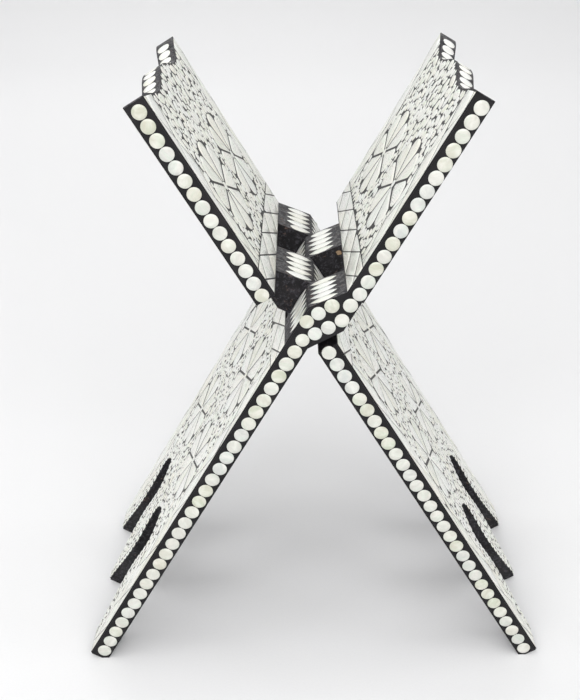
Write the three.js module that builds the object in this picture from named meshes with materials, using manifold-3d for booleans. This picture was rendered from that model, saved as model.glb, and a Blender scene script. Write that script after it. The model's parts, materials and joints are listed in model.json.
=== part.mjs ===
// A folding book stand cut from one plank: two interlocked boards with mother-of-pearl inlay.
// Millimetres, +Z up. Board A holds the right leaf and the left leg, board B the other two.
// In a board's own frame, X runs through the thickness (positive on the leaf's side of the saw
// kerf), Y runs across the plank and Z runs up the board, with the fold axis at the origin.
import * as THREE from 'three';
import { mergeVertices } from 'three/addons/utils/BufferGeometryUtils.js';
import Module from 'manifold-3d';

const wasm = await Module();
wasm.setup();

// Driving dimensions
const plankWidth = 129;
const halfAngle = 30.5 * Math.PI / 180;
const leafTop = 131;
const legEnd = -211;
const kerfHalf = 0.6;
const leafThick = { a: 9.2, b: 10.2 };
const legThick = 10;
const inlayThick = 0.6;
const glueGap = 0.3;
const footWear = 1.6;

// Fingers, numbered from the near edge; board A owns the first and third
const fingerEdges = [0, 28, 60.5, 93, plankWidth];
const fingerPlay = 0.4;
const topInner = 30;
const topOuter = 15.3;
const lowOuter = 13.2;
const lowInner = -2.3;
const leafRest = 28.9;
const legRest = -2.4;
const legRestOuter = -5.1;
const shoulderBed = 0.6;

// Crown of the leaf: a wave with peaks at both corners and in the middle, higher at the far edge
const crownDepth = 5.2;
const crownFarRise = 2.6;
const crownSteps = 28;
const crownMargin = 1.6;
const crownBed = 0.2;

// Arches between the feet
const archOffset = 24.5;
const archFootHalf = 21.6;
const archNeck = { half: 10.8, u: -171 };
const archHead = { half: 13.9, u: -152 };
const archTop = -138;

// Inlay layout
const borderWidth = 13;
const rosetteOffset = 26.6;
const leafRosette = { u: 73.6, radius: 23.2 };
const legRosettes = [-45.5, -101.5];
const legRosetteRadius = 22;
const petals = 8;
const petalProud = 0.2;
const discSides = 10;
const crownInlayPitch = 6.78;
const spindles = 5;

// Derived values
const skin = inlayThick + glueGap;
const edge = plankWidth / 2;
const woodEdge = edge - skin;
const fieldEdge = woodEdge - 0.4;
const fieldHalf = fieldEdge - borderWidth - glueGap;
const axisHeight = -legEnd * Math.cos(halfAngle) - kerfHalf * Math.sin(halfAngle) - footWear;
const legInner = -kerfHalf;
const legOuter = -kerfHalf - legThick;

function toManifold(geometry) {
  const bare = new THREE.BufferGeometry();
  bare.setAttribute('position', geometry.getAttribute('position').clone());
  if (geometry.index) {
    bare.setIndex(geometry.index.clone());
  }
  const merged = mergeVertices(bare, 1e-4);
  return new wasm.Manifold(new wasm.Mesh({
    numProp: 3,
    vertProperties: new Float32Array(merged.getAttribute('position').array),
    triVerts: new Uint32Array(merged.index.array),
  }));
}

function toGeometry(solid) {
  const mesh = solid.getMesh();
  const geometry = new THREE.BufferGeometry();
  geometry.setAttribute('position', new THREE.BufferAttribute(new Float32Array(mesh.vertProperties), 3));
  geometry.setIndex(new THREE.BufferAttribute(new Uint32Array(mesh.triVerts), 1));
  geometry.computeVertexNormals();
  return geometry;
}

function join(solids) {
  return solids.reduce((sum, solid) => sum.add(solid));
}

function extrude(points, depth) {
  const shape = new THREE.Shape(points.map(([x, y]) => new THREE.Vector2(x, y)));
  return new THREE.ExtrudeGeometry(shape, { depth, bevelEnabled: false });
}

// A plate whose outline is drawn as (y, z), from one depth in the thickness to another
function plate(outline, from, to) {
  const geometry = extrude(outline, to - from);
  geometry.applyMatrix4(new THREE.Matrix4().set(0, 0, 1, from, 1, 0, 0, 0, 0, 1, 0, 0, 0, 0, 0, 1));
  return toManifold(geometry);
}

// A bar whose section is drawn as (x, z), from one place across the plank to another
function bar(section, from, to) {
  const geometry = extrude(section, to - from);
  geometry.rotateX(Math.PI / 2);
  geometry.translate(0, to, 0);
  return toManifold(geometry);
}

function rectangle(y0, y1, z0, z1) {
  return [[y0, z0], [y1, z0], [y1, z1], [y0, z1]];
}

// Height of the leaf's top; turned is 1 for board A and -1 for board B, whose own Y runs backwards
function crown(y, turned) {
  const wave = crownDepth * Math.sin(2 * Math.PI * (y + edge) / plankWidth) ** 2;
  const t = Math.min(Math.max(2 * turned * y / edge - 1, 0), 1);
  return leafTop - wave + crownFarRise * t * t * (3 - 2 * t);
}

// The leaf's outline between two places across the plank, with its top below the crown by drop
function crowned(y0, y1, bottom, drop, turned) {
  const top = [];
  for (let i = 0; i <= crownSteps; i += 1) {
    const y = y1 + (y0 - y1) * i / crownSteps;
    top.push([y, crown(y, turned) - drop]);
  }
  return [[y0, bottom], [y1, bottom], ...top];
}

// One arch, grown outwards by a margin
function archOutline(centre, grow) {
  const half = new THREE.Path();
  half.moveTo(archFootHalf, legEnd - 4);
  half.lineTo(archFootHalf, legEnd);
  const { half: neck, u: neckU } = archNeck;
  const { half: head, u: headU } = archHead;
  half.bezierCurveTo(archFootHalf - 3, legEnd + 15, neck, neckU - 16, neck, neckU);
  half.bezierCurveTo(neck, neckU + 7, head, headU - 8, head, headU);
  half.bezierCurveTo(head, headU + 8, 5, archTop - 3, 0, archTop);
  const points = half.getPoints(7);
  const right = points.map((point, i) => {
    const before = points[Math.max(i - 1, 0)];
    const after = points[Math.min(i + 1, points.length - 1)];
    const along = new THREE.Vector2().subVectors(after, before).normalize();
    return [Math.max(point.x + along.y * grow, 0), point.y - Math.min(along.x, 0) * grow];
  });
  right[right.length - 1] = [0, archTop + grow];
  const left = right.slice(0, -1).reverse().map(([x, z]) => [-x, z]);
  return [...right, ...left].map(([x, z]) => [centre + x, z]);
}

function cutArches(solid, from, to, grow) {
  const cutters = [-archOffset, archOffset].map((y) => plate(archOutline(y, grow), from - 1, to + 1));
  return solid.subtract(join(cutters));
}

// Section of a finger through the whole plank, with sloping shoulders front and back
function fingerSection(leafOuter) {
  return [
    [kerfHalf + skin, topInner + 4],
    [kerfHalf + skin, topInner - shoulderBed],
    [legOuter + skin, topOuter - shoulderBed],
    [legOuter + skin, lowInner - 6],
    [legInner, lowInner - 6],
    [legInner, lowInner],
    [leafOuter - skin, lowOuter],
    [leafOuter - skin, topInner + 4],
  ];
}

function boardWood(leafOuter, ownFingers, outerSlot, turned) {
  const outline = crowned(-woodEdge, woodEdge, leafRest, skin + crownBed, turned);
  const leafSlab = plate(outline, kerfHalf + skin, leafOuter - skin);
  const legOutline = rectangle(-woodEdge, woodEdge, legEnd, legRest);
  const legSlab = cutArches(plate(legOutline, legOuter + skin, legInner), legOuter, legInner, 0);
  const relief = plate(rectangle(...outerSlot, legRestOuter, 0), legOuter, 0);
  const fingers = ownFingers.map(([y0, y1]) => bar(fingerSection(leafOuter), y0, y1));
  return join([leafSlab, legSlab.subtract(relief), ...fingers]);
}

// The wood below the floor is worn away, which leaves the flat the stand rests on
function wearFeet(wood) {
  const floor = new THREE.BoxGeometry(60, plankWidth + 20, 40);
  floor.translate(0, 0, -20);
  floor.translate(legEnd * Math.sin(halfAngle), 0, -axisHeight);
  floor.rotateY(-halfAngle);
  return wood.subtract(toManifold(floor));
}

// One wedge petal of a rosette as an outline about the rosette's centre
function petalOutline(radius, turn) {
  const inner = 0.14 * radius;
  const points = [[inner, 0], [0.62 * radius, -0.18 * radius], [0.9 * radius, -0.25 * radius]];
  points.push([radius, 0], [0.9 * radius, 0.25 * radius], [0.62 * radius, 0.18 * radius]);
  const cos = Math.cos(turn);
  const sin = Math.sin(turn);
  return points.map(([x, z]) => [x * cos - z * sin, x * sin + z * cos]);
}

function rosette(centreY, centreZ, radius, from, to) {
  const wedges = [];
  for (let i = 0; i < petals; i += 1) {
    const outline = petalOutline(radius, i * 2 * Math.PI / petals);
    wedges.push(plate(outline.map(([y, z]) => [centreY + y, centreZ + z]), from, to));
  }
  return join(wedges);
}

// A row of discs that touch, let into an edge face; side is -1 on the low-Y edge of the board
function discRow(places, side) {
  const from = side < 0 ? -edge : edge - inlayThick;
  const discs = places.map(([x, z], i) => {
    const [nx, nz] = places[i === 0 ? 1 : i - 1];
    const turn = Math.atan2(nz - z, nx - x);
    const radius = 1.05 * Math.hypot(nz - z, nx - x) / 2;
    const outline = [];
    for (let k = 0; k < discSides; k += 1) {
      const a = turn + k * 2 * Math.PI / discSides;
      outline.push([x + radius * Math.cos(a), z + radius * Math.sin(a)]);
    }
    return bar(outline, from, from + inlayThick);
  });
  return join(discs);
}

function line(x, first, last, count) {
  return Array.from({ length: count }, (_, i) => [x, first + (last - first) * i / (count - 1)]);
}

function crownInlay(leafOuter, turned) {
  const middle = (kerfHalf + leafOuter) / 2;
  const reach = (leafOuter - kerfHalf) / 2 - 0.9;
  const pieces = [];
  for (let i = -9; i <= 9; i += 1) {
    const y = i * crownInlayPitch;
    const slope = Math.atan2(crown(y + 0.1, turned) - crown(y - 0.1, turned), 0.2);
    const half = (crownInlayPitch / 2 + 0.15) / Math.cos(slope);
    const section = [[-reach, 0], [0, -half], [reach, 0], [0, half]];
    const geometry = extrude(section, inlayThick);
    geometry.rotateX(slope);
    geometry.translate(middle, y, crown(y, turned) - inlayThick);
    pieces.push(toManifold(geometry));
  }
  const shape = join(pieces);
  const ends = rectangle(-woodEdge, woodEdge, 0, leafTop + crownFarRise + 2);
  const keep = plate(ends, kerfHalf, leafOuter);
  return shape.intersect(keep);
}

// Pointed spindles side by side across a finger, drawn along a line in the section
function spindleRow([x0, z0], [x1, z1], y0, y1) {
  const length = Math.hypot(x1 - x0, z1 - z0);
  const pitch = (y1 - y0) / spindles;
  const pieces = [];
  for (let i = 0; i < spindles; i += 1) {
    const y = y0 + pitch * (i + 0.5);
    const half = pitch / 2 + 0.1;
    const outline = [[0, y], [0.3 * length, y - half], [0.7 * length, y - half]];
    outline.push([length, y], [0.7 * length, y + half], [0.3 * length, y + half]);
    const geometry = extrude(outline, inlayThick);
    geometry.rotateY(-Math.atan2(z1 - z0, x1 - x0));
    geometry.translate(x0, 0, z0);
    pieces.push(toManifold(geometry));
  }
  return join(pieces);
}

function mesh(name, solid, color, roughness) {
  const material = new THREE.MeshStandardMaterial({ color, roughness, metalness: 0 });
  const piece = new THREE.Mesh(toGeometry(solid), material);
  piece.name = name;
  return piece;
}

const pearl = (name, solid) => mesh(name, solid, 0xe4e6da, 0.3);
const wood = (name, solid) => mesh(name, solid, 0x232126, 0.45);

// The mosaic on one leaf's face: a rosette field and three border strips
function leafMosaic(name, board, turned) {
  const top = kerfHalf;
  const low = topInner;
  const field = low + borderWidth + glueGap;
  const outline = crowned(-fieldHalf, fieldHalf, field, crownMargin + skin, turned);
  const base = plate(outline, top + petalProud, top + inlayThick);
  const flowers = [-rosetteOffset, rosetteOffset].map(
    (y) => rosette(y, leafRosette.u, leafRosette.radius, top, top + 2 * petalProud),
  );
  const strip = (y0, y1, z0, z1) => plate(rectangle(y0, y1, z0, z1), top, top + inlayThick);
  const side = leafTop - 4;
  board.add(pearl(`leaf_${name}_rosette_field`, join([base, ...flowers])));
  board.add(pearl(`leaf_${name}_foot_border`, strip(-fieldEdge, fieldEdge, low, field - glueGap)));
  board.add(pearl(`leaf_${name}_left_border`, strip(-fieldEdge, -fieldHalf - glueGap, field, side)));
  board.add(pearl(`leaf_${name}_right_border`, strip(fieldHalf + glueGap, fieldEdge, field, side)));
}

function leafBack(name, leafOuter, board, turned) {
  const outline = crowned(-fieldEdge, fieldEdge, topInner, crownMargin + skin, turned);
  const base = plate(outline, leafOuter - inlayThick, leafOuter - petalProud);
  const flowers = [-rosetteOffset, rosetteOffset].map(
    (y) => rosette(y, leafRosette.u, leafRosette.radius, leafOuter - 2 * petalProud, leafOuter),
  );
  board.add(pearl(`leaf_${name}_back_panel`, join([base, ...flowers])));
}

function legMosaic(name, board) {
  const top = legRestOuter - 0.6;
  const field = top - borderWidth - glueGap;
  const low = legEnd + 0.6;
  const from = legOuter;
  const to = legOuter + inlayThick;
  const sheet = plate(rectangle(-fieldHalf, fieldHalf, low, field), from + petalProud, to);
  const base = cutArches(sheet, from, to, 0.5);
  const flowers = legRosettes.flatMap((z) => [-rosetteOffset, rosetteOffset].map(
    (y) => rosette(y, z, legRosetteRadius, from, from + 2 * petalProud),
  ));
  const strip = (y0, y1, z0, z1) => plate(rectangle(y0, y1, z0, z1), from, to);
  board.add(pearl(`leg_${name}_rosette_field`, join([base, ...flowers])));
  board.add(pearl(`leg_${name}_head_border`, strip(-fieldEdge, fieldEdge, field + glueGap, top)));
  board.add(pearl(`leg_${name}_left_border`, strip(-fieldEdge, -fieldHalf - glueGap, low, field)));
  board.add(pearl(`leg_${name}_right_border`, strip(fieldHalf + glueGap, fieldEdge, low, field)));
}

function fingerInlay(number, y0, y1, board) {
  const slope = Math.atan2(topInner - topOuter, kerfHalf - legOuter);
  const along = (s) => [legOuter + s * Math.cos(slope), topOuter + s * Math.sin(slope) - shoulderBed];
  const lift = [Math.sin(slope) * -glueGap, Math.cos(slope) * glueGap];
  const shoulder = [along(2.4), along(13.6)].map(([x, z]) => [x + lift[0], z + lift[1]]);
  board.add(pearl(`finger_${number}_shoulder_spindles`, spindleRow(...shoulder, y0 + 0.8, y1 - 0.8)));
  const back = [[legOuter + inlayThick, 13.2], [legOuter + inlayThick, -0.6]];
  board.add(pearl(`finger_${number}_face_spindles`, spindleRow(back[1], back[0], y0 + 0.8, y1 - 0.8)));
}

// The discs on an outermost finger's end face, and the rows that run on from it
const leafDisc = 6.1;
const leafCornerDisc = [5.3, 25.2];
const legDisc = -4.9;
const shoulderDiscs = [[-7.75, 9], [-4.75, 15], [-1.6, 21]];
const turnDiscs = [[6.8, 16.7], [2.87, 11.2], [-1.2, 5.9], [-4.7, 0.2]];

function edgeDiscs(name, board, fingerSide) {
  const plain = -fingerSide;
  const leafRow = line(leafDisc, 125.4, 31.9, 15);
  const legRow = line(legDisc, -6.6, -206, 29);
  const rows = {
    [`leaf_${name}_finger_edge_discs`]: discRow([...leafRow, leafCornerDisc], fingerSide),
    [`leaf_${name}_plain_edge_discs`]: discRow(leafRow, plain),
    [`leg_${name}_finger_edge_discs`]: discRow([...turnDiscs, ...legRow], fingerSide),
    [`leg_${name}_plain_edge_discs`]: discRow(line(legDisc, -7.4, -206.8, 30), plain),
    [`finger_${name}_shoulder_discs`]: discRow(shoulderDiscs, fingerSide),
  };
  Object.entries(rows).forEach(([node, solid]) => board.add(pearl(node, solid)));
}

// turned is 1 for board A and -1 for board B, whose own Y runs towards the near edge
function board(name, turned) {
  const group = new THREE.Group();
  group.name = `board_${name}_group`;
  const leafOuter = kerfHalf + leafThick[name];
  const slots = fingerEdges.slice(0, -1).map((start, i) => ({
    number: i + 1,
    y0: (i === 0 ? -woodEdge : start - edge + fingerPlay / 2),
    y1: (i === 3 ? woodEdge : fingerEdges[i + 1] - edge - fingerPlay / 2),
  }));
  const local = slots.map(({ number, y0, y1 }) => ({
    number,
    y0: turned > 0 ? y0 : -y1,
    y1: turned > 0 ? y1 : -y0,
  }));
  const own = local.filter(({ number }) => (number % 2 === 1) === (turned > 0));
  const other = local[turned > 0 ? 3 : 0];
  const outerSlot = [other.y0 - fingerPlay, other.y1 + fingerPlay];
  const solid = boardWood(leafOuter, own.map(({ y0, y1 }) => [y0, y1]), outerSlot, turned);
  group.add(wood(`board_${name}`, wearFeet(solid)));
  leafMosaic(name, group, turned);
  leafBack(name, leafOuter, group, turned);
  legMosaic(name, group);
  group.add(pearl(`leaf_${name}_crown_lozenges`, crownInlay(leafOuter, turned)));
  own.forEach(({ number, y0, y1 }) => fingerInlay(number, y0, y1, group));
  edgeDiscs(name, group, -1);
  const tilt = new THREE.Group();
  tilt.rotation.y = halfAngle;
  tilt.add(group);
  const placed = new THREE.Group();
  placed.rotation.z = turned > 0 ? 0 : Math.PI;
  placed.position.z = axisHeight;
  placed.add(tilt);
  return placed;
}

const group = new THREE.Group();
group.name = 'book_stand';
group.add(board('a', 1));
group.add(board('b', -1));
group.updateMatrixWorld(true);

export default group;
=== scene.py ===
import json
import math
import random

import bmesh
import bpy
import numpy as np
from mathutils import Matrix, Vector


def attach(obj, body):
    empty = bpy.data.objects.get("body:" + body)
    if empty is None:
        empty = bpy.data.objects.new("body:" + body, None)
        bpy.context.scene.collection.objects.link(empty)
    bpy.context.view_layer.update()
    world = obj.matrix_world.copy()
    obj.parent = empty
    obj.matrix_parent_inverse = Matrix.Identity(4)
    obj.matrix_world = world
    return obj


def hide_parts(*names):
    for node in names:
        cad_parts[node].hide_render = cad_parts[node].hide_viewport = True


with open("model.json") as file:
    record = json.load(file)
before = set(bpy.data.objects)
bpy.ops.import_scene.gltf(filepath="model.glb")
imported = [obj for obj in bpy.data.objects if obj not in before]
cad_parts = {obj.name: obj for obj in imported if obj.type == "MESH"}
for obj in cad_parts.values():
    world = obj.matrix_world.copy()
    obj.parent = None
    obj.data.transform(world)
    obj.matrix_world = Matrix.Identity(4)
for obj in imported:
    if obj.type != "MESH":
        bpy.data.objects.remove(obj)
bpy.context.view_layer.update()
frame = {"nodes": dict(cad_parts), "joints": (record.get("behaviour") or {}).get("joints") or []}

MM = 0.001
HALF_ANGLE = math.radians(30.5)
AXIS = Vector(frame["joints"][0]["pos_m"])

# The stand's dimensions in millimetres, as in the CAD: n runs through a board's thickness from
# the saw kerf, y across the plank and u up the board from the fold axis
WIDTH = 129.0
EDGE = WIDTH / 2
KERF = 0.6
LEG_THICK = 10.0
LEAF_THICK = {"a": 9.2, "b": 10.2}
LEAF_TOP = 131.0
LEG_END = -211.0
CROWN_DEPTH = 5.2
CROWN_FAR_RISE = 2.6
SKIN = 0.9
WOOD_EDGE = EDGE - SKIN
FINGER_EDGES = (0.0, 28.0, 60.5, 93.0, WIDTH)
PLAY = 0.4
SHOULDER_IN = (KERF, 30.0)
SHOULDER_OUT = (-KERF - LEG_THICK, 15.3)
LEAF_REST = 28.9
LEG_REST = -5.1
LEG_OUTER = -KERF - LEG_THICK
ARCH_Y = 24.5
ARCH_FOOT = 21.6
ARCH_NECK = (10.8, -171.0)
ARCH_HEAD = (13.9, -152.0)
ARCH_TOP = -138.0
LEG_BED_END = LEG_END + 0.45
LEG_FACE_END = LEG_END + 0.85
CHIP = (1.6, -3.8, 25.8)    # (n, y, u) of the bare wood on finger 3's near end
CHIP_SIZE = 2.4
WOOD_ROUND = 0.35
BED_ROUND = 0.12

# The inlay, with the fillers of each field as (radius, stretch), the largest first
BORDER = 13.0
JOINT = 0.3
FIELD_EDGE = WOOD_EDGE - 0.4
FIELD_HALF = FIELD_EDGE - BORDER - JOINT
ROSETTE_Y = 26.6
LEAF_ROSETTE = (73.2, 23.2)
LEG_ROSETTES = (-45.5, -101.5)
LEG_ROSETTE_RADIUS = 22.4
LEAF_PETAL_GAP = 1.35
LEG_PETAL_GAP = 1.05
BEAD = 2.5
BORDER_PITCH = 30.0
CROWN_PITCH = 6.78
SPINDLES = 5
BED_DROP = 0.16
CROWN_DROP = 0.7
CROWN_BED_DROP = 1.4
CROWN_SLIP = 7.0
CROWN_SLIP_MARGIN = 0.65
CROWN_SLIP_LIFT = 0.04
DISC_PROUD = 0.09
LEAF_FILL = ((2.6, 1.5), (2.3, 1.4), (1.95, 1.5), (1.75, 1.3), (1.45, 1.7), (1.2, 1.3))
LEG_FILL = ((2.7, 1.7), (2.2, 1.8), (1.8, 1.6), (1.45, 1.7), (1.15, 1.5), (0.95, 1.4))


class Board:
    """One of the two boards: its name, its CAD body and the way from its own frame to the world."""

    def __init__(self, name):
        self.name = name
        self.body = f"board_{name}_body"
        self.turned = name == "b"
        turn = Matrix.Rotation(math.pi if self.turned else 0.0, 4, "Z")
        self.matrix = Matrix.Translation(AXIS) @ turn @ Matrix.Rotation(HALF_ANGLE, 4, "Y")
        self.leaf_outer = KERF + LEAF_THICK[name]
        self.far = -1 if self.turned else 1

    def fingers(self):
        """(number, low y, high y) of the fingers this board owns, in its own frame."""
        for i in range(4):
            if (i % 2 == 1) != self.turned:
                continue
            low = -WOOD_EDGE if i == 0 else FINGER_EDGES[i] - EDGE + PLAY / 2
            high = WOOD_EDGE if i == 3 else FINGER_EDGES[i + 1] - EDGE - PLAY / 2
            yield (i + 1, -high, -low) if self.turned else (i + 1, low, high)


# ---------------------------------------------------------------- outlines

def crown(y, far):
    """Height of the leaf's top; far is the sign of the board's own Y at the edge away from us."""
    t = min(max(2 * far * y / EDGE - 1, 0), 1)
    wave = CROWN_DEPTH * math.sin(2 * math.pi * (y + EDGE) / WIDTH) ** 2
    return LEAF_TOP - wave + CROWN_FAR_RISE * t * t * (3 - 2 * t)


def crowned(low, high, bottom, drop, far, steps=64):
    """A leaf's outline between two places across the plank, its top below the crown by drop."""
    ys = [high + (low - high) * i / steps for i in range(steps + 1)]
    return [(low, bottom), (high, bottom)] + [(y, crown(y, far) - drop) for y in ys]


def bezier(p0, p1, p2, p3, steps):
    """Points along a cubic curve, without its first one."""
    points = []
    for i in range(1, steps + 1):
        t = i / steps
        k = ((1 - t) ** 3, 3 * t * (1 - t) ** 2, 3 * t * t * (1 - t), t ** 3)
        points.append(tuple(sum(a * p[j] for a, p in zip(k, (p0, p1, p2, p3))) for j in (0, 1)))
    return points


def half_arch(steps=14):
    """Half an arch from the foot up to its point, as (half width, u)."""
    foot = (ARCH_FOOT, LEG_END)
    (neck, neck_u), (head, head_u) = ARCH_NECK, ARCH_HEAD
    points = [foot]
    points += bezier(foot, (ARCH_FOOT - 3, LEG_END + 15), (neck, neck_u - 16), ARCH_NECK, steps)
    points += bezier(ARCH_NECK, (neck, neck_u + 7), (head, head_u - 8), ARCH_HEAD, steps)
    points += bezier(ARCH_HEAD, (head, head_u + 8), (5, ARCH_TOP - 3), (0, ARCH_TOP), steps)
    return points


def arch_line(grow, steps=14):
    """The whole arch about its own middle, moved outwards by grow, from one foot to the other."""
    half = half_arch(steps)
    right = []
    for i, (x, u) in enumerate(half):
        (x0, u0), (x1, u1) = half[max(i - 1, 0)], half[min(i + 1, len(half) - 1)]
        length = math.hypot(x1 - x0, u1 - u0)
        right.append((max(x + (u1 - u0) / length * grow, 0), u + max(x0 - x1, 0) / length * grow))
    right[-1] = (0.0, ARCH_TOP + grow)
    left = [(-x, u) for x, u in reversed(right[:-1])]
    return right + left


def leg_outline(edge, top, end, grow):
    """The outline of a leg's face with its two arches open at the bottom."""
    points = [(edge, top), (-edge, top), (-edge, end)]
    for middle in (-ARCH_Y, ARCH_Y):
        line = [(middle - x, max(u, end)) for x, u in arch_line(grow)]
        points += line
    return points + [(edge, end)]


def inset(outline, distance):
    """The outline moved inwards. distance is one number, or one for each edge."""
    count = len(outline)
    gaps = [distance] * count if isinstance(distance, (int, float)) else distance
    area = sum(outline[i - 1][0] * outline[i][1] - outline[i][0] * outline[i - 1][1] for i in range(count))
    sign = 1.0 if area > 0 else -1.0
    normals = []
    for i in range(count):
        (x0, y0), (x1, y1) = outline[i], outline[(i + 1) % count]
        length = math.hypot(x1 - x0, y1 - y0) or 1.0
        normals.append((-(y1 - y0) / length * sign, (x1 - x0) / length * sign))
    moved = []
    for i, (x, y) in enumerate(outline):
        (ax, ay), (bx, by) = normals[i - 1], normals[i]
        da, db = gaps[i - 1], gaps[i]
        cross = ax * by - ay * bx
        if abs(cross) < 0.05:
            dx, dy = (ax * da + bx * db) / 2, (ay * da + by * db) / 2
        else:
            dx, dy = (da * by - db * ay) / cross, (ax * db - bx * da) / cross
        reach, most = math.hypot(dx, dy), 3.2 * max(da, db, 1e-6)
        if reach > most:
            dx, dy = dx * most / reach, dy * most / reach
        moved.append((x + dx, y + dy))
    return moved


def circle(centre, radius, sides):
    turns = [2 * math.pi * i / sides for i in range(sides)]
    return [(centre[0] + radius * math.cos(a), centre[1] + radius * math.sin(a)) for a in turns]


def turned(points, centre, angle):
    """Points about the origin, turned and moved to a centre."""
    c, s = math.cos(angle), math.sin(angle)
    return [(centre[0] + x * c - y * s, centre[1] + x * s + y * c) for x, y in points]


def vesica(centre, length, width, angle, steps=7, blunt=1.0):
    """A pointed oval: two arcs that meet at the tips. blunt over 1 fattens its ends."""
    upper = []
    for i in range(steps + 1):
        t = i / steps
        upper.append((length * (t - 0.5), width / 2 * math.sin(math.pi * t) ** (1 / blunt)))
    lower = [(x, -y) for x, y in reversed(upper[1:-1])]
    return turned(upper + lower, centre, angle)


def spindle(centre, length, width, angle, taper):
    """A long slip with straight sides and pointed, slightly swelling ends."""
    half, side = length / 2, width / 2
    knee = half - taper * length
    upper = [(-half, 0), (-half + taper * length * 0.5, side * 0.62), (-knee, side)]
    upper += [(knee, side), (half - taper * length * 0.5, side * 0.62), (half, 0)]
    lower = [(x, -y) for x, y in reversed(upper[1:-1])]
    return turned(upper + lower, centre, angle)


def wedge_petal(centre, radius, angle, gap, petals=8):
    """A rosette petal: a wedge from the middle with a broad rounded end."""
    spread = math.pi / petals
    start = gap / 2 / math.sin(spread) + 0.9
    side = []
    for r in (start, 0.4 * radius, 0.76 * radius):
        side.append((r, r * math.tan(spread) - gap / 2 / math.cos(spread)))
    for share, reach in ((0.8, 0.87), (0.7, 0.925), (0.53, 0.965), (0.32, 0.99)):
        side.append((reach * radius * math.cos(share * spread), reach * radius * math.sin(share * spread)))
    mirrored = [(x, -y) for x, y in reversed(side)]
    return turned(side + [(radius, 0.0)] + mirrored, centre, angle)


def cut_above(outline, limit):
    """The part of an outline in (y, u) above a height."""
    kept = []
    for k, q in enumerate(outline):
        p = outline[k - 1]
        if (p[1] > limit) != (q[1] > limit):
            t = (limit - p[1]) / (q[1] - p[1])
            kept.append((p[0] + t * (q[0] - p[0]), limit))
        if q[1] > limit:
            kept.append(q)
    return kept


# ---------------------------------------------------------------- mosaic layout

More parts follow.
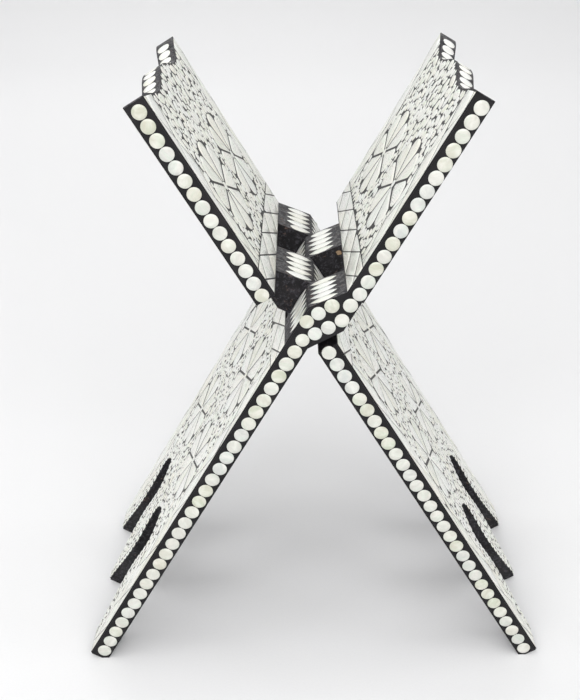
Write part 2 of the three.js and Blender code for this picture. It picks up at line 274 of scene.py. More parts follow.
class Mosaic:
    """Pearl pieces on one face, each an outline in (y, u) with the direction of its grain.
    A coarse occupancy grid keeps the pieces from overlapping and finds the gaps to fill."""

    STEP = 0.25

    def __init__(self, region, seed):
        self.rng = random.Random(seed)
        self.tiles = []
        ys, us = [p[0] for p in region], [p[1] for p in region]
        self.low = (min(ys), min(us))
        self.shape = (int((max(ys) - min(ys)) / self.STEP) + 1, int((max(us) - min(us)) / self.STEP) + 1)
        self.free = self.mask(region)

    def mask(self, outline):
        """Grid cells inside an outline, which need not be convex."""
        ys = self.low[0] + (np.arange(self.shape[0]) + 0.5) * self.STEP
        us = self.low[1] + (np.arange(self.shape[1]) + 0.5) * self.STEP
        inside = np.zeros(self.shape, bool)
        span = [p[0] for p in outline]
        first = max(int((min(span) - self.low[0]) / self.STEP) - 1, 0)
        last = min(int((max(span) - self.low[0]) / self.STEP) + 2, self.shape[0])
        for i in range(first, last):
            crossings = []
            for k, (y0, u0) in enumerate(outline):
                y1, u1 = outline[k - 1]
                if (y0 > ys[i]) != (y1 > ys[i]):
                    crossings.append(u0 + (ys[i] - y0) * (u1 - u0) / (y1 - y0))
            crossings.sort()
            for a, b in zip(crossings[::2], crossings[1::2]):
                inside[i] |= (us > a) & (us < b)
        return inside

    def place(self, outline, grain, allow):
        """Adds a piece if at most the allowed share of it lies on taken or forbidden ground."""
        outline = cut_above(outline, self.low[1])
        if len(outline) < 3:
            return False
        cells = self.mask(outline)
        total = int(cells.sum())
        if total == 0 or (cells & ~self.free).sum() > allow * total:
            return False
        self.free &= ~cells
        self.tiles.append((outline, grain))
        return True

    def fill(self, sizes):
        """Fills what is left with oval pieces, the larger ones tried in more directions."""
        for radius, stretch in sizes:
            for turn in self.rng.sample(range(8), 8 if radius > 1.7 else 3):
                self.pack_ovals(radius, stretch, (turn + self.rng.random()) * math.pi / 8)

    def pack_ovals(self, radius, stretch, angle):
        """Lays ovals of one size and direction wherever a whole one still fits."""
        across, along = radius, radius * stretch
        reach = int(math.ceil(along / self.STEP))
        axis = np.arange(-reach, reach + 1) * self.STEP
        c, s = math.cos(angle), math.sin(angle)
        length, width = axis[:, None] * c + axis[None, :] * s, axis[None, :] * c - axis[:, None] * s
        oval = (length / along) ** 2 + (width / across) ** 2 <= 1
        padded = np.zeros((self.shape[0] + 2 * reach, self.shape[1] + 2 * reach + 1), np.int32)
        padded[reach:-reach, reach + 1:reach + 1 + self.shape[1]] = self.free
        total = np.cumsum(padded, axis=1)
        fits = np.ones(self.shape, bool)
        for i in range(2 * reach + 1):
            cells = np.nonzero(oval[i])[0]
            if len(cells):
                rows = total[i:i + self.shape[0]]
                first, last = cells[0], cells[-1] + 1
                run = rows[:, last:last + self.shape[1]] - rows[:, first:first + self.shape[1]]
                fits &= run == last - first
        shape = vesica((0, 0), 2 * radius * stretch, 2 * radius, 0, blunt=1.9)
        for i, j in zip(*np.nonzero(fits)):
            rows = slice(max(i - reach, 0), i + reach + 1)
            columns = slice(max(j - reach, 0), j + reach + 1)
            window = self.free[rows, columns]
            part = oval[max(reach - i, 0):, max(reach - j, 0):][:window.shape[0], :window.shape[1]]
            if window[part].all():
                window[part] = False
                centre = (self.low[0] + (i + 0.5) * self.STEP, self.low[1] + (j + 0.5) * self.STEP)
                self.tiles.append((turned(shape, centre, angle), angle))

    def oval(self, y, u, length, width, degrees, allow=0.12, blunt=1.3):
        angle = math.radians(degrees)
        return self.place(vesica((y, u), length, width, angle, blunt=blunt), angle, allow)

    def bead(self, y, u, radius=BEAD, allow=0.12):
        radius *= self.rng.uniform(0.96, 1.03)
        return self.place(circle((y, u), radius, 14), self.rng.uniform(0, math.pi), allow)

    def rosette(self, centre, radius, turn, gap):
        for i in range(8):
            angle = turn + i * math.pi / 4
            self.place(wedge_petal(centre, radius, angle, gap), angle, allow=0.3)
        self.place(circle(centre, 2.2, 14), 0.4, allow=1.0)
        self.free &= ~self.mask(circle(centre, radius - 1.3, 32))

    def bead_ring(self, centre, radii, limit):
        """Beads round a rosette, smaller where two rings meet and left out past the field's edge."""
        angle = math.radians(6)
        while angle < math.radians(363):
            y, u = centre[0] + radii[0] * math.cos(angle), centre[1] + radii[1] * math.sin(angle)
            radius = BEAD if abs(y) > 4 else 1.75
            if abs(y) < limit - 1.2:
                self.place(circle((y, u), radius, 14), angle, 0.16)
            angle += (2 * radius + 0.2) / radii[1]

    def flower(self, centre, length, width, degrees, start=1.9, core=1.7, allow=0.15):
        if core:
            self.bead(*centre, core, allow)
        for turn in degrees:
            angle, reach = math.radians(turn), start + length / 2
            spot = (centre[0] + reach * math.cos(angle), centre[1] + reach * math.sin(angle))
            self.oval(*spot, length, width, turn, allow)


def leaf_field(region, far, seed):
    """The leaf's field: two rosettes in rings of beads, and fans and slips under the crown."""
    field = Mosaic(region, seed)
    u, radius = LEAF_ROSETTE
    for side in (-1, 1):
        field.rosette((side * ROSETTE_Y, u), radius, math.radians(-3.5 * far), LEAF_PETAL_GAP)
    for side in (-1, 1):
        field.bead_ring((side * ROSETTE_Y, u), (ROSETTE_Y - 1.9, 25.8), FIELD_HALF)
    for side in (-1, 1):
        for y, drop, length in ((37.4, 4.1, 11.0), (17.6, 4.2, 10.5)):
            slope = math.degrees(math.atan(crown(side * y + 0.5, far) - crown(side * y - 0.5, far)))
            field.oval(side * y, crown(side * y, far) - drop, length, 5.1, slope, 0.2)
        for y, rad in ((47.2, 2.2), (27.3, 2.3), (9.2, 2.1)):
            field.bead(side * y, crown(side * y, far) - 4.1, rad, 0.3)
        lean = 90 - side * 90
        fan = [lean + side * a for a in (32, 148, -22, 202, 90)]
        field.flower((side * 27.6, 110.6), 8.2, 4.7, fan, 2.1, 2.0)
        field.bead(side * 27.6, 105.2, 2.2)
        for y, rise in ((47.0, 118.2), (47.4, 112.6), (45.2, 107.3), (41.2, 103.3)):
            field.bead(side * y, rise, 2.15)
        field.oval(side * 46.9, 102.0, 7.6, 4.2, 90 - side * 40)
        field.oval(side * 46.0, 97.0, 7.2, 3.6, 90 + side * 52)
        field.oval(side * 46.3, 49.4, 9.2, 4.4, 90 - side * 42, 0.2)
        field.oval(side * 7.4, 47.3, 9.4, 4.2, side * -24, 0.2)
    field.oval(0.0, 52.6, 6.4, 4.0, 90)
    for turn, length in ((90, 10.5), (66, 9.6), (114, 9.6), (42, 8.6), (138, 8.6)):
        angle = math.radians(turn)
        field.oval(6.4 * math.cos(angle), 96.6 + 7.2 * math.sin(angle), length, 3.3, turn, 0.25, 1.1)
        field.bead(14.6 * math.cos(angle), 96.6 + 14.8 * math.sin(angle), 2.1, 0.25)
    field.flower((0.0, 118.4), 6.2, 3.7, range(-54, 270, 51), 1.7, 0)
    field.fill(LEAF_FILL)
    return field.tiles


def leg_field(region, seed):
    """The leg's field: four rosettes, flowers between them, and bead rows round the arches."""
    field = Mosaic(region, seed)
    for u in LEG_ROSETTES:
        for side in (-1, 1):
            field.rosette((side * ROSETTE_Y, u), LEG_ROSETTE_RADIUS, 0.0, LEG_PETAL_GAP)
    for middle in (-ARCH_Y, ARCH_Y):
        for grow, radius in ((1.7, 1.8), (5.9, 2.1)):
            line = arch_line(grow, 40)
            walked = 0.0
            for p, q in zip(line, line[1:]):
                walked += math.hypot(q[0] - p[0], q[1] - p[1])
                if walked > 2 * radius + 0.25:
                    walked = 0.0
                    field.bead(middle + q[0], q[1], radius, 0.2)
    for u in LEG_ROSETTES:
        for side in (-1, 1):
            field.bead_ring((side * ROSETTE_Y, u), (ROSETTE_Y - 1.9, 24.9), FIELD_HALF)
    between = sum(LEG_ROSETTES) / 2
    for y in (-2 * ROSETTE_Y + 5, 0.0, 2 * ROSETTE_Y - 5):
        for u in (between, LEG_ROSETTES[0] + 25.5, LEG_ROSETTES[1] - 25.5):
            field.flower((y, u), 8.6, 4.8, (45, 135, 225, 315), 1.9, 1.9, 0.2)
            field.flower((y, u), 5.6, 3.6, (0, 90, 180, 270), 2.6, 0)
    for row in range(10):
        for k in range(-12, 13):
            tilt = 90 + (7 if (k + row) % 2 else -7)
            field.oval(k * 4.7 + (row % 2) * 2.35, -127.0 - row * 8.7, 11.4, 4.5, tilt, 0.1, 1.7)
    field.fill(LEG_FILL)
    return field.tiles


def lozenge_band(low, high, start, end, across, slope=0.0):
    """A border strip of long lozenges and triangles. across says that it runs along y, and slope
    slants its last end."""
    middle, first = (low + high) / 2, start - BORDER_PITCH * 0.35
    wide, thin, rim = 0.37, 0.3, 0.16
    tiles = []
    count = int((end - first) / BORDER_PITCH) + 3
    for i in range(count):
        x = first + i * BORDER_PITCH
        half = BORDER_PITCH / 2
        cells = [
            ([(x - half, middle), (x, low), (x + half, middle), (x, high)], [thin, wide, thin, wide]),
            ([(x, high), (x + half, middle), (x + 2 * half, high)], [thin, wide, rim]),
            ([(x, low), (x + 2 * half, low), (x + half, middle)], [rim, thin, wide]),
        ]
        for outline, gaps in cells:
            ends = ((start, 0.0, 1), (end - slope * middle, slope, -1))
            outline, gaps = clip_band(outline, gaps, ends, rim)
            if len(outline) < 3:
                continue
            cut = inset(outline, gaps)
            grain = math.radians(25 if gaps[0] == thin else -25) * 0.4
            if not across:
                cut, grain = [(b, a) for a, b in cut], math.pi / 2 - grain
            tiles.append((cut, grain))
    return tiles


def clip_band(outline, gaps, limits, rim):
    """Cuts a cell at the strip's two ends, each (place, slope, side), and keeps each edge's joint width."""
    for limit, slope, keep in limits:
        points, widths = [], []
        for k in range(len(outline)):
            p, q, gap = outline[k], outline[(k + 1) % len(outline)], gaps[k]
            dp, dq = ((x - slope * y - limit) * keep for x, y in (p, q))
            if dp > 1e-6:
                points.append(p)
                widths.append(gap)
            if (dp > 1e-6) != (dq > 1e-6):
                t = dp / (dp - dq)
                points.append((p[0] + t * (q[0] - p[0]), p[1] + t * (q[1] - p[1])))
                widths.append(rim if dp > 1e-6 else gap)
        outline, gaps = points, widths
        if len(outline) < 3:
            return [], []
    return outline, gaps


# ---------------------------------------------------------------- meshes

def finished(bm, name, board, material, extra=()):
    """Turns a bmesh in a board's own millimetres into a piece that rides on that board."""
    bmesh.ops.recalc_face_normals(bm, faces=bm.faces)
    mesh = bpy.data.meshes.new(name)
    bm.to_mesh(mesh)
    bm.free()
    mesh.transform(board.matrix @ Matrix.Scale(MM, 4))
    for one in (material, *extra):
        mesh.materials.append(one)
    piece = bpy.data.objects.new(name, mesh)
    bpy.context.scene.collection.objects.link(piece)
    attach(piece, board.body)
    return piece


def pearl_piece(name, board, tiles, spot, material, seed,
                shape=(0.34, 0.13, 0.05)):
    """Many pearl pieces as one mesh. spot(a, b, h) maps a panel's place to the board's frame, and
    shape holds how far a piece is sunk, its edge round and the rise of its middle."""
    sunk, edge, dome = shape
    rng = random.Random(seed)
    bm = bmesh.new()
    uv_layer = bm.loops.layers.uv.new("grain")
    tone_layer = bm.verts.layers.float.new("tone")
    for outline, grain in tiles:
        count = len(outline)
        cx, cy = (sum(p[k] for p in outline) / count for k in (0, 1))
        size = max(math.hypot(x - cx, y - cy) for x, y in outline)
        lean = (rng.gauss(0, 0.006), rng.gauss(0, 0.006))
        tone, lift = rng.random(), rng.uniform(-0.02, 0.02)
        shift = (rng.uniform(0, 40), rng.uniform(0, 40))
        grain += rng.gauss(0, 0.12)
        bevel = min(edge, 0.3 * size)
        inner = inset(outline, bevel)
        crown_ring = [(cx + (x - cx) * 0.55, cy + (y - cy) * 0.55) for x, y in inner]
        rise = dome * min(size / 4, 1.0)
        rings = [(outline, -sunk), (outline, -bevel), (inner, 0.0), (crown_ring, rise * 0.75)]
        verts, flat = [], {}
        for ring, height in rings:
            row = []
            for x, y in ring:
                h = height + lift + (lean[0] * (x - cx) + lean[1] * (y - cy) if height > -sunk else 0.0)
                vert = bm.verts.new(spot(x, y, h))
                vert[tone_layer] = tone
                flat[vert] = (x, y)
                row.append(vert)
            verts.append(row)
        top = bm.verts.new(spot(cx, cy, rise + lift))
        top[tone_layer] = tone
        flat[top] = (cx, cy)
        faces = []
        for low, high in zip(verts, verts[1:]):
            for i in range(count):
                j = (i + 1) % count
                faces.append(bm.faces.new((low[i], low[j], high[j], high[i])))
        for i in range(count):
            faces.append(bm.faces.new((verts[-1][i], verts[-1][(i + 1) % count], top)))
        faces.append(bm.faces.new(list(reversed(verts[0]))))
        c, s = math.cos(grain), math.sin(grain)
        for face in faces:
            face.smooth = True
            for loop in face.loops:
                x, y = flat[loop.vert]
                along, over = (x - cx) * c + (y - cy) * s, (y - cy) * c - (x - cx) * s
                loop[uv_layer].uv = (along / 10 + shift[0], over / 10 + shift[1])
    piece = finished(bm, name, board, material)
    return piece


def bed(name, board, outline, low, high, filler):
    """A plate between two depths of a board, with mastic on its face and wood round its rim."""
    bm = bmesh.new()
    bottom = [bm.verts.new((low, y, u)) for y, u in outline]
    top = [bm.verts.new((high, y, u)) for y, u in outline]
    count = len(outline)
    for i in range(count):
        j = (i + 1) % count
        bm.faces.new((bottom[i], bottom[j], top[j], top[i])).material_index = 1
    bm.faces.new(bottom)
    bm.faces.new(top)
    piece = finished(bm, name, board, filler, (WOOD[board.name],))
    soften(piece, BED_ROUND)
    return piece


def section_bar(name, board, section, low, high):
    """A bar across the plank whose section is drawn in (n, u)."""
    bm = bmesh.new()
    near = [bm.verts.new((n, low, u)) for n, u in section]
    far = [bm.verts.new((n, high, u)) for n, u in section]
    count = len(section)
    for i in range(count):
        j = (i + 1) % count
        bm.faces.new((near[i], near[j], far[j], far[i]))
    bm.faces.new(near).material_index = 1
    bm.faces.new(far).material_index = 1
    piece = finished(bm, name, board, MASTIC, (WOOD[board.name],))
    soften(piece, BED_ROUND)
    return piece


def soften(piece, width):
    """Rounds the edges that catch the light."""
    mod = piece.modifiers.new("soft_edges", "BEVEL")
    mod.width = width * MM
    mod.segments = 2
    mod.limit_method = "ANGLE"
    mod.angle_limit = math.radians(38)
    mod.harden_normals = False


# ---------------------------------------------------------------- materials

def nodes_of(name):
    material = bpy.data.materials.new(name)
    material.use_nodes = True
    tree = material.node_tree
    return material, tree, tree.nodes["Principled BSDF"]


def add(tree, kind, inputs=None, **settings):
    node = tree.nodes.new(kind)
    for key, value in settings.items():
        setattr(node, key, value)
    for key, value in (inputs or {}).items():
        if isinstance(value, bpy.types.NodeSocket):
            tree.links.new(value, node.inputs[key])
        else:
            node.inputs[key].default_value = value
    return node


def noise(tree, vector, scale, detail=4.0, rough=0.55, distortion=0.0):
    node = add(tree, "ShaderNodeTexNoise", {"Vector": vector, "Scale": scale, "Detail": detail})
    node.inputs["Roughness"].default_value = rough
    node.inputs["Distortion"].default_value = distortion
    return node.outputs["Fac"]


def ramp(tree, factor, stops):
    node = add(tree, "ShaderNodeValToRGB", {"Fac": factor})
    ends = node.color_ramp.elements
    while len(ends) < len(stops):
        ends.new(0.5)
    for element, (place, color) in zip(ends, stops):
        element.position = place
        element.color = (*color, 1)
    return node.outputs["Color"]


def grey(value):
    return (value, value, value)


def mixed(tree, factor, a, b, blend="MIX"):
    node = add(tree, "ShaderNodeMix", data_type="RGBA", blend_type=blend)
    for key, value in ((0, factor), (6, a), (7, b)):
        if isinstance(value, bpy.types.NodeSocket):
            tree.links.new(value, node.inputs[key])
        elif key == 0:
            node.inputs[0].default_value = value
        else:
            node.inputs[key].default_value = (*value, 1)
    return node.outputs[2]


def scaled(tree, vector, scale, turn=(0, 0, 0)):
    node = add(tree, "ShaderNodeMapping", {"Vector": vector, "Scale": scale, "Rotation": turn})
    return node.outputs["Vector"]


def bump(tree, height, strength, distance):
    node = add(tree, "ShaderNodeBump", {"Height": height, "Strength": strength, "Distance": distance})
    return node.outputs["Normal"]


def pearl_material(name, warm, streak=1.0):
    """Mother-of-pearl: each piece has its own tone and fine growth lines, soft milky clouds that are partly
    its own tone and partly painted highlight, and a painted iridescent sheen.
    """
    material, tree, shader = nodes_of(name)
    uv = add(tree, "ShaderNodeUVMap", uv_map="grain").outputs["UV"]
    tone = add(tree, "ShaderNodeAttribute", attribute_name="tone").outputs["Fac"]
    base = ramp(tree, tone, [
        (0.0, (0.80, 0.80, 0.69)), (0.22, (0.87, 0.868, 0.79)), (0.5, (0.90, 0.898, 0.845)),
        (0.78, (0.875, 0.88, 0.85)), (1.0, (0.89, 0.87, 0.765))])
    own = ramp(tree, tone, [
        (0.0, (0.47, 0.475, 0.38)), (0.15, (0.51, 0.51, 0.43)), (0.4, (0.53, 0.53, 0.475)),
        (0.65, (0.52, 0.525, 0.485)), (0.85, (0.49, 0.505, 0.485)), (1.0, (0.545, 0.545, 0.495))])
    base = mixed(tree, warm, base, own)
    # Milky clouds, partly the nacre's own cloudy tone and partly painted highlight: lighter swirls laid
    # into each piece's colour, strongest on the darker discs
    milky_and_highlight_clouds = noise(tree, scaled(tree, uv, (1.0, 1.6, 1.0)), 1.6, 3.0, 0.5, 0.6)
    milk_and_painted_highlight = mixed(tree, warm, (0.90, 0.905, 0.87), (0.72, 0.72, 0.67))
    base = mixed(tree, ramp(tree, milky_and_highlight_clouds, [(0.4, grey(0.0)), (0.7, grey(0.6))]), base, milk_and_painted_highlight)
    # Painted sheen: a fixed pale green and pink tint painted into the colour in place of the shell's
    # iridescent lustre
    painted_sheen = noise(tree, scaled(tree, uv, (0.5, 2.4, 1.0)), 1.1, 2.0, 0.5, 1.2)
    painted_sheen_tint = ramp(tree, painted_sheen, [(0.3, (0.93, 1.0, 0.95)), (0.5, (1, 1, 1)), (0.72, (1.0, 0.965, 0.96))])
    base = mixed(tree, 0.75, base, painted_sheen_tint, "MULTIPLY")
    lines = noise(tree, scaled(tree, uv, (0.55, 9.0, 1.0)), 3.2, 5.0, 0.65, 0.25)
    shade = ramp(tree, lines, [(0.32, grey(1.0 - 0.2 * streak)), (0.55, grey(1.0))])
    base = mixed(tree, 1.0, base, shade, "MULTIPLY")
    tree.links.new(base, shader.inputs["Base Color"])
    rough = ramp(tree, lines, [(0.3, grey(0.36)), (0.7, grey(0.22))])
    tree.links.new(rough, shader.inputs["Roughness"])
    tree.links.new(bump(tree, lines, 0.12, 0.00005), shader.inputs["Normal"])
    shader.inputs["Coat Weight"].default_value = 0.25
    shader.inputs["Coat Roughness"].default_value = 0.12
    shader.inputs["IOR"].default_value = 1.53
    return material


def times(tree, a, b):
    return add(tree, "ShaderNodeMath", {0: a, 1: b}, operation="MULTIPLY").outputs[0]


def wood_material(name, board):
    """Black stained hardwood: fine grain along the board, dulled high spots and brown worn nicks."""
    material, tree, shader = nodes_of(name)
    lean = HALF_ANGLE if board.turned else -HALF_ANGLE
    place = scaled(tree, add(tree, "ShaderNodeTexCoord").outputs["Object"], (1, 1, 1), (0, lean, 0))
    grain = noise(tree, scaled(tree, place, (420, 420, 30)), 1.0, 6.0, 0.6, 0.3)
    color = ramp(tree, grain, [(0.3, (0.004, 0.0036, 0.0045)), (0.6, (0.0075, 0.0068, 0.008)),
                               (0.8, (0.017, 0.0145, 0.016))])
    rubbed = noise(tree, place, 62.0, 3.0, 0.55, 0.4)
    high_spots = ramp(tree, rubbed, [(0.5, grey(0.0)), (0.75, grey(0.4))])
    color = mixed(tree, high_spots, color, (0.032, 0.028, 0.031))
    across = add(tree, "ShaderNodeSeparateXYZ", {"Vector": place}).outputs["Y"]
    inner = add(tree, "ShaderNodeMath", {0: across}, operation="ABSOLUTE").outputs[0]
    inner = add(tree, "ShaderNodeMath", {0: inner, 1: (WOOD_EDGE - 0.3) * MM},
                operation="LESS_THAN").outputs[0]
    sawn = noise(tree, scaled(tree, place, (1, 0.5, 1)), 520.0, 5.0, 0.75, 0.4)
    dull = ramp(tree, sawn, [(0.5, grey(0.0)), (0.62, grey(0.8))])
    color = mixed(tree, times(tree, inner, dull), color, (0.052, 0.049, 0.058))
    nicks = noise(tree, scaled(tree, place, (1, 1, 0.6)), 330.0, 5.0, 0.75, 0.5)
    nicks = ramp(tree, nicks, [(0.6, grey(0.0)), (0.68, grey(0.9))])
    color = mixed(tree, times(tree, inner, nicks), color, (0.12, 0.08, 0.066))
    if not board.turned:
        chip = Matrix.Rotation(lean, 3, "Y") @ (board.matrix @ (Vector(CHIP) * MM))
        ragged = noise(tree, place, 700.0, 3.0, 0.6)
        away = add(tree, "ShaderNodeVectorMath", {0: place, 1: chip},
                   operation="DISTANCE").outputs["Value"]
        size = CHIP_SIZE * MM
        away = add(tree, "ShaderNodeMath", {0: ragged, 1: size, 2: away},
                   operation="MULTIPLY_ADD").outputs[0]
        bare = add(tree, "ShaderNodeMath", {0: away, 1: size}, operation="LESS_THAN").outputs[0]
        color = mixed(tree, bare, color, (0.30, 0.205, 0.12))
    tree.links.new(color, shader.inputs["Base Color"])
    rough = ramp(tree, rubbed, [(0.3, grey(0.4)), (0.7, grey(0.58))])
    tree.links.new(rough, shader.inputs["Roughness"])
    shader.inputs["Specular IOR Level"].default_value = 0.22
    tree.links.new(bump(tree, grain, 0.25, 0.00012), shader.inputs["Normal"])
    return material


def mastic_material(name, light, worn):
    """Grey-black filler between the pearl pieces, matt and speckled, paler where it is dusty or worn."""
    material, tree, shader = nodes_of(name)
    place = add(tree, "ShaderNodeTexCoord").outputs["Object"]
    speckle = noise(tree, place, 1500.0, 4.0, 0.7)
    cloud = noise(tree, place, 260.0, 4.0, 0.65, 0.5)
    color = ramp(tree, speckle, [(0.35, (0.014, 0.0135, 0.016)), (0.6, (0.036, 0.035, 0.039)),
                                 (0.78, (0.11, 0.108, 0.112))])
    dark = ramp(tree, cloud, [(0.4, grey(0.0)), (0.62, grey(0.85))])
    color = mixed(tree, dark, color, (0.016, 0.015, 0.018))
    patches = noise(tree, place, 420.0, 6.0, 0.75, 0.6)
    scuffs = ramp(tree, patches, [(0.46, grey(0.0)), (0.6, grey(worn))])
    color = mixed(tree, scuffs, color, (0.15, 0.146, 0.15))
    stain = noise(tree, place, 300.0, 4.0, 0.7, 0.8)
    stain = ramp(tree, stain, [(0.58, grey(0.0)), (0.66, grey(worn))])
    color = mixed(tree, stain, color, (0.11, 0.07, 0.055))
    color = mixed(tree, light, color, (0.17, 0.165, 0.15))
    tree.links.new(color, shader.inputs["Base Color"])
    shader.inputs["Roughness"].default_value = 0.6
    shader.inputs["Specular IOR Level"].default_value = 0.2
    tree.links.new(bump(tree, speckle, 0.4, 0.00008), shader.inputs["Normal"])
    return material


BOARDS = [Board("a"), Board("b")]
WOOD = {board.name: wood_material(f"ebonised_wood_{board.name}", board) for board in BOARDS}
MASTIC = mastic_material("black_mastic", 0.0, 0.75)
LEAF_MASTIC = mastic_material("leaf_mastic", 0.13, 0.2)
LEG_MASTIC = mastic_material("leg_mastic", 0.33, 0.2)
PEARL = pearl_material("pearl_mosaic", 0.0)
PEARL_DISC = pearl_material("pearl_discs", 1.0, 0.5)
PEARL_BRIGHT = pearl_material("pearl_slips", 0.0, 0.8)


# ---------------------------------------------------------------- parts of one board

def dress_wood(board):
    """The carved board stays as the CAD has it, with softened edges and its stain."""
    node = frame["nodes"][f"board_{board.name}"]
    node.data.materials.clear()
    node.data.materials.append(WOOD[board.name])
    soften(node, WOOD_ROUND)


def leaf_face(board, front):
    """The mosaic on a leaf's inner face, or the like on its back."""
    name = board.name
    base = KERF if front else board.leaf_outer
    out = -1 if front else 1
    side = "front" if front else "back"

    def spot(y, u, h):
        return (base + out * (h - 0.05), y, u)

    bottom = SHOULDER_IN[1] - 0.6 if front else LEAF_REST
    outline = crowned(-WOOD_EDGE, WOOD_EDGE, bottom, CROWN_DROP, board.far)
    bed(f"leaf_{name}_{side}_bed", board, outline, base - out * SKIN, base - out * BED_DROP, LEAF_MASTIC)
    low = SHOULDER_IN[1]
    field_low = low + BORDER + JOINT
    region = crowned(-FIELD_HALF, FIELD_HALF, field_low, 0.8, board.far)
    seed = 11 if front else 12
    tiles = leaf_field(region, board.far, seed)
    bands = {"foot": lozenge_band(low, field_low - JOINT, -FIELD_EDGE, FIELD_EDGE, True)}
    sides = (("left", -FIELD_EDGE, -FIELD_HALF - JOINT), ("right", FIELD_HALF + JOINT, FIELD_EDGE))
    for key, inner, outer in sides:
        ends = crown(inner, board.far), crown(outer, board.far)
        top, slope = sum(ends) / 2 - CROWN_DROP - 0.5, (ends[1] - ends[0]) / (outer - inner)
        bands[key] = lozenge_band(inner, outer, field_low, top, False, slope)
    if front:
        piece = pearl_piece(f"leaf_{name}_field_pearl", board, tiles, spot, PEARL, seed)
        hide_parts(f"leaf_{name}_rosette_field")
        for key, band in bands.items():
            strip = pearl_piece(f"leaf_{name}_{key}_border_pearl", board, band, spot, PEARL,
                                seed + len(key))
            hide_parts(f"leaf_{name}_{key}_border")
    else:
        for band in bands.values():
            tiles += band
        piece = pearl_piece(f"leaf_{name}_back_pearl", board, tiles, spot, PEARL, seed)
        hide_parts(f"leaf_{name}_back_panel")


def leg_face(board):
    """The mosaic on a leg's outer face."""
    name = board.name

    def spot(y, u, h):
        return (LEG_OUTER - (h - 0.05), y, u)

    outline = leg_outline(WOOD_EDGE, LEG_REST, LEG_BED_END, 0.7)
    bed(f"leg_{name}_bed", board, outline, LEG_OUTER + SKIN, LEG_OUTER + BED_DROP, LEG_MASTIC)
    top = LEG_REST - 0.6
    field_top = top - BORDER - JOINT
    low = LEG_FACE_END
    region = leg_outline(FIELD_HALF, field_top, low, 0.1)
    piece = pearl_piece(f"leg_{name}_field_pearl", board, leg_field(region, 21), spot, PEARL, 21)
    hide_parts(f"leg_{name}_rosette_field")
    bands = {
        "head": lozenge_band(field_top + JOINT, top, -FIELD_EDGE, FIELD_EDGE, True),
        "left": lozenge_band(-FIELD_EDGE, -FIELD_HALF - JOINT, low, field_top, False),
        "right": lozenge_band(FIELD_HALF + JOINT, FIELD_EDGE, low, field_top, False),
    }
    for key, band in bands.items():
        strip = pearl_piece(f"leg_{name}_{key}_border_pearl", board, band, spot, PEARL, 31 + len(key))
        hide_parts(f"leg_{name}_{key}_border")


def finger_faces(board):
    """Each finger's mastic bed over its shoulder and face, with rows of pointed slips."""
    (n1, u1), (n0, u0) = SHOULDER_IN, SHOULDER_OUT
    length = math.hypot(n1 - n0, u1 - u0)
    along = ((n1 - n0) / length, (u1 - u0) / length)
    out = (-along[1], along[0])
    drop = BED_DROP
    for number, low, high in board.fingers():
        corner = (n0 + drop, u0 - drop * 0.4)
        section = [
            (n1 + drop * 0.3, u1 - drop), corner, (n0 + drop, LEG_REST - 0.1),
            (n0 + SKIN, LEG_REST - 0.1), (n0 + SKIN, u0 - 0.6), (n1 + SKIN, u1 - 0.7),
        ]
        section_bar(f"finger_{number}_bed", board, section, low, high)
        middle, pitch = (low + high) / 2, (high - low - 1.4) / SPINDLES
        rows = [middle + (i - (SPINDLES - 1) / 2) * pitch for i in range(SPINDLES)]

        def shoulder(s, y, h):
            lift = h - 0.1
            return (n0 + along[0] * s + out[0] * lift, y, u0 + along[1] * s + out[1] * lift)

        def face(u, y, h):
            return (LEG_OUTER - (h - 0.05), y, u)

        reach = 7.1 if board.turned else 7.75
        tiles = [(spindle((reach, y), 13.3, pitch - 0.1, 0.0, 0.35), 0.0) for y in rows]
        piece = pearl_piece(f"finger_{number}_shoulder_slips", board, tiles, shoulder, PEARL_BRIGHT,
                            40 + number)
        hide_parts(f"finger_{number}_shoulder_spindles")
        tiles = [(spindle((6.7, y), 14.6, pitch - 0.1, 0.0, 0.36), 0.0) for y in rows]
        piece = pearl_piece(f"finger_{number}_face_slips", board, tiles, face, PEARL_BRIGHT,
                            50 + number)
        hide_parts(f"finger_{number}_face_spindles")


def crown_row(board):
    """The scalloped end grain with its row of pointed lozenges."""
    name = board.name
    low, high = KERF + BED_DROP, board.leaf_outer - BED_DROP
    bm = bmesh.new()
    steps = 96
    loops = []
    for i in range(steps + 1):
        y = -WOOD_EDGE + 2 * WOOD_EDGE * i / steps
        top, base = crown(y, board.far) - CROWN_DROP, crown(y, board.far) - CROWN_BED_DROP
        corners = ((low, y, base), (high, y, base), (high, y, top), (low, y, top))
        loops.append([bm.verts.new(p) for p in corners])
    for one, two in zip(loops, loops[1:]):
        for k in range(4):
            bm.faces.new((one[k], one[(k + 1) % 4], two[(k + 1) % 4], two[k]))
    bm.faces.new(loops[0])
    bm.faces.new(loops[-1])
    strip = finished(bm, f"leaf_{name}_crown_bed", board, MASTIC)
    soften(strip, BED_ROUND)
    middle = high - CROWN_SLIP_MARGIN - CROWN_SLIP / 2

    def spot(n, y, h):
        return (n, y, crown(y, board.far) - CROWN_DROP + h + CROWN_SLIP_LIFT)

    width = CROWN_PITCH - 0.2
    rows = [(vesica((middle, k * CROWN_PITCH), CROWN_SLIP, width, 0.0, steps=14, blunt=2.6), 0.0)
            for k in range(-8, 9)]
    piece = pearl_piece(f"leaf_{name}_crown_slips", board, rows, spot, PEARL_BRIGHT, 60,
                        (0.3, 0.12, 0.04))
    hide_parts(f"leaf_{name}_crown_lozenges")


# Rows of discs as (first u, last u, count), and the single ones as (n, u)
LEAF_DISC_N, LEG_DISC_N = 6.1, -4.9
LEAF_DISCS = (125.4, 31.9, 15)
LEG_FINGER_DISCS = (-6.6, -206, 29)
LEG_PLAIN_DISCS = (-7.4, -206.8, 30)
LEAF_CORNER_DISC = (5.3, 25.2)
SHOULDER_DISCS = [(-7.75, 9.0), (-4.75, 15.0), (-1.6, 21.0)]
TURN_DISCS = [(5.6, 17.2), (2.25, 11.3), (-1.4, 5.75), (-4.7, 0.2)]


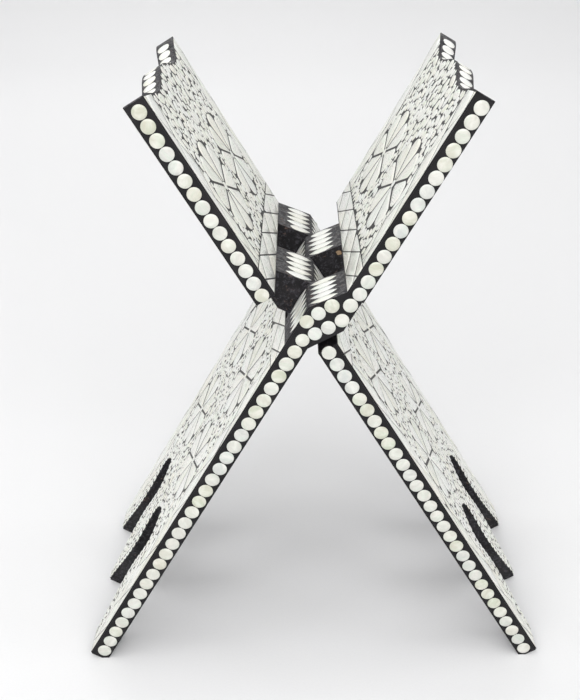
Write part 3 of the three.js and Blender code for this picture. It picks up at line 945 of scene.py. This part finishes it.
def disc_rows(board):
    """Rows of round pearl discs let into both edges of the board."""
    def row(n, first, last, count):
        return [(n, first + (last - first) * i / (count - 1)) for i in range(count)]

    name = board.name
    leaf_row = row(LEAF_DISC_N, *LEAF_DISCS)
    rows = {
        f"leaf_{name}_finger_edge_discs": (leaf_row + [LEAF_CORNER_DISC], -1),
        f"leaf_{name}_plain_edge_discs": (leaf_row, 1),
        f"leg_{name}_finger_edge_discs": (TURN_DISCS + row(LEG_DISC_N, *LEG_FINGER_DISCS), -1),
        f"leg_{name}_plain_edge_discs": (row(LEG_DISC_N, *LEG_PLAIN_DISCS), 1),
        f"finger_{name}_shoulder_discs": (SHOULDER_DISCS, -1),
    }
    rng = random.Random(7)
    for number, (node, (places, side)) in enumerate(rows.items()):
        def spot(n, u, h, side=side):
            return (n, side * (WOOD_EDGE + DISC_PROUD + h), u)

        tiles = []
        for i, (n, u) in enumerate(places):
            other = places[i - 1] if i else places[1]
            radius = math.hypot(other[0] - n, other[1] - u) / 2 * rng.uniform(0.97, 1.0)
            centre = (n + rng.gauss(0, 0.12), u + rng.gauss(0, 0.05))
            tiles.append((circle(centre, radius, 32), rng.uniform(0, math.pi)))
        piece = pearl_piece(f"{node}_pearl", board, tiles, spot, PEARL_DISC, 70 + number,
                            (0.5, 0.16, 0.07))
        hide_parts(node)


for board in BOARDS:
    dress_wood(board)
    leaf_face(board, True)
    leaf_face(board, False)
    leg_face(board)
    finger_faces(board)
    crown_row(board)
    disc_rows(board)


# ---------------------------------------------------------------- stage, light and camera

def backdrop():
    """A pale floor that curves up into a pale wall far behind the stand."""
    bm = bmesh.new()
    side, front, back, bend, height = 5.0, -6.0, 1.5, 0.9, 2.6
    line = [(front, 0.0), (back, 0.0)]
    for i in range(1, 17):
        a = math.pi / 2 * i / 16
        line.append((back + bend * math.sin(a), bend * (1 - math.cos(a))))
    line.append((back + bend, height))
    left = [bm.verts.new((-side, y, z)) for y, z in line]
    right = [bm.verts.new((side, y, z)) for y, z in line]
    for i in range(len(line) - 1):
        bm.faces.new((left[i], right[i], right[i + 1], left[i + 1])).smooth = True
    mesh = bpy.data.meshes.new("studio_floor")
    bm.to_mesh(mesh)
    bm.free()
    material, tree, shader = nodes_of("pale_paper")
    place = add(tree, "ShaderNodeTexCoord").outputs["Object"]
    fibre = noise(tree, place, 900.0, 3.0, 0.6)
    color = ramp(tree, fibre, [(0.3, (0.82, 0.82, 0.825)), (0.7, (0.84, 0.84, 0.845))])
    tree.links.new(color, shader.inputs["Base Color"])
    shader.inputs["Roughness"].default_value = 0.7
    mesh.materials.append(material)
    floor = bpy.data.objects.new("studio_floor", mesh)
    bpy.context.scene.collection.objects.link(floor)


# Each light's name, place, the height above the stand's foot that it aims at, size and power
LIGHTS = (
    ("front_left_panel", (-0.9, -2.1, 1.5), 0.1, (2.0, 1.6), 29.5),
    ("front_right_panel", (0.9, -2.1, 1.5), 0.1, (2.0, 1.6), 25.0),
    ("front_low_panel", (0, -2.3, 1.0), 0.1, (2.0, 1.2), 22.0),
    ("overhead_panel", (-0.3, 0.1, 2.4), 0.1, (2.4, 2.0), 6.0),
    ("overhead_lamp", (-0.1, -0.5, 2.2), 0.05, (0.7, 0.7), 6.3),
    ("left_panel", (-2.2, 0, 1.6), 0.1, (1.8, 1.8), 16.5),
    ("right_panel", (2.2, 0, 1.6), 0.1, (1.8, 1.8), 17.0),
    ("back_low_panel", (0, 1.7, 0.9), 0.05, (2.0, 0.6), 6.2),
    ("back_high_panel", (-0.9, 1.6, 1.8), 0.1, (1.6, 1.2), 5.5),
)


def area_light(name, place, target, size, power):
    data = bpy.data.lights.new(name, "AREA")
    data.shape = "RECTANGLE"
    data.size, data.size_y = size
    data.energy = power
    lamp = bpy.data.objects.new(name, data)
    bpy.context.scene.collection.objects.link(lamp)
    lamp.location = place
    lamp.rotation_euler = (Vector(target) - Vector(place)).to_track_quat("-Z", "Y").to_euler()


def lights():
    world = bpy.data.worlds.new("soft_room")
    bpy.context.scene.world = world
    world.use_nodes = True
    sky = world.node_tree.nodes["Background"]
    sky.inputs["Color"].default_value = (0.985, 0.99, 1.0, 1)
    sky.inputs["Strength"].default_value = 0.08
    for name, place, aim, size, power in LIGHTS:
        area_light(name, place, (0, 0, aim), size, power)


def camera():
    """The photograph's view: from a little above, almost square on to the near edges."""
    place = Vector((-0.00448, -0.48346, 0.38233))
    pitch, yaw, roll = (math.radians(a) for a in (25.978, -0.686, -0.944))
    data = bpy.data.cameras.new("photo_camera")
    data.sensor_width = 36.0
    data.lens = 53.71
    cam = bpy.data.objects.new("photo_camera", data)
    bpy.context.scene.collection.objects.link(cam)
    tilt = Matrix.Rotation(math.pi / 2 - pitch, 4, "X") @ Matrix.Rotation(roll, 4, "Z")
    cam.matrix_world = Matrix.Translation(place) @ (Matrix.Rotation(-yaw, 4, "Z") @ tilt)
    data.clip_start = 0.01
    bpy.context.scene.camera = cam


backdrop()
lights()
camera()
bpy.context.scene.view_settings.view_transform = "Standard"
